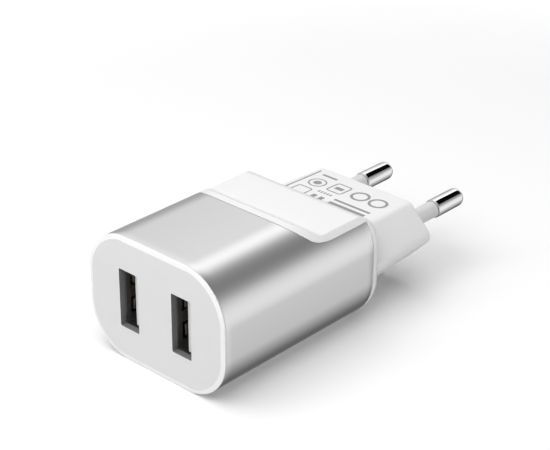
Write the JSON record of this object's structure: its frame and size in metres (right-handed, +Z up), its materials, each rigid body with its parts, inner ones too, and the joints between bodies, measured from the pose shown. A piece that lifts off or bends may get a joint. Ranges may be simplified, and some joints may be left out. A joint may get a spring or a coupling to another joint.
{
  "type": "usb wall charger",
  "caption": "Compact wall charger: rounded metal-sleeved body, upright USB sockets in the front face, stepped white rear top and a slim two-pin plug base.",
  "frame": {"origin": "centre of the whole part's footprint, on the underside of the metal sleeve", "axes": "+Y from the port face towards the pins, +Z up out of the stepped top, +X to the right when facing the ports from the front with the step on top"},
  "size_m": [0.0356, 0.079, 0.0262],
  "materials": {
    "white_plastic": "semi-gloss moulded polycarbonate, bright white",
    "satin_aluminium": "satin silver, smooth with a very fine grain along the body",
    "nickel_plate": "polished nickel plating over brass",
    "sleeve_plastic": "pale grey insulating plastic",
    "shell_steel": "plated steel sheet, dull",
    "tongue_plastic": "white moulded nylon",
    "contact_bronze": "plated copper alloy",
    "board_laminate": "green coated glass-fibre laminate",
    "ferrite": "dark matt ferrite",
    "bobbin_plastic": "black moulded plastic",
    "copper_winding": "enamelled copper wire",
    "yellow_tape": "yellow polyester tape",
    "capacitor_film": "dark blue shrink film over an aluminium can",
    "disc_ceramic": "blue epoxy-dipped ceramic disc",
    "component_epoxy": "black moulded epoxy",
    "resistor_coat": "green lacquer coat",
    "barrier_sheet": "pale insulating sheet"
  },
  "bodies": {
    "charger": {"front_cap": "white_plastic", "metal_sleeve": "satin_aluminium", "rear_housing": "white_plastic", "left_plug_pin": "nickel_plate", "left_pin_sleeve": "sleeve_plastic", "left_pin_contact": "contact_bronze", "left_port_shell": "shell_steel", "left_port_tongue": "tongue_plastic", "left_contact_tail_1": "contact_bronze", "left_contact_tail_2": "contact_bronze", "left_contact_tail_3": "contact_bronze", "left_contact_tail_4": "contact_bronze", "right_plug_pin": "nickel_plate", "right_pin_sleeve": "sleeve_plastic", "right_pin_contact": "contact_bronze", "right_port_shell": "shell_steel", "right_port_tongue": "tongue_plastic", "right_contact_tail_1": "contact_bronze", "right_contact_tail_2": "contact_bronze", "right_contact_tail_3": "contact_bronze", "right_contact_tail_4": "contact_bronze", "main_board": "board_laminate", "transformer_core_front": "ferrite", "transformer_core_rear": "ferrite", "transformer_bobbin": "bobbin_plastic", "transformer_winding": "copper_winding", "transformer_tape": "yellow_tape", "input_capacitor_large": "capacitor_film", "input_capacitor_small": "capacitor_film", "output_capacitor": "capacitor_film", "fuse_resistor": "resistor_coat", "filter_inductor": "resistor_coat", "y_capacitor": "disc_ceramic", "output_diode": "component_epoxy", "bridge_rectifier": "component_epoxy", "controller_chip": "component_epoxy", "port_chip": "component_epoxy", "insulation_barrier": "barrier_sheet"},
    "left_port_contacts": {"left_contact_spring_1": "contact_bronze", "left_contact_spring_2": "contact_bronze", "left_contact_spring_3": "contact_bronze", "left_contact_spring_4": "contact_bronze"},
    "right_port_contacts": {"right_contact_spring_1": "contact_bronze", "right_contact_spring_2": "contact_bronze", "right_contact_spring_3": "contact_bronze", "right_contact_spring_4": "contact_bronze"}
  },
  "joints": [
    {"name": "left_contacts_flex", "type": "hinge", "parent": "charger", "child": "left_port_contacts", "pos_m": [-0.00615, -0.0282, 0.0131], "axis": [0, 0, 1], "range_deg": [0, 4], "stiffness_Nm_per_rad": 0.3},
    {"name": "right_contacts_flex", "type": "hinge", "parent": "charger", "child": "right_port_contacts", "pos_m": [0.00765, -0.0282, 0.0131], "axis": [0, 0, 1], "range_deg": [0, 4], "stiffness_Nm_per_rad": 0.3}
  ]
}
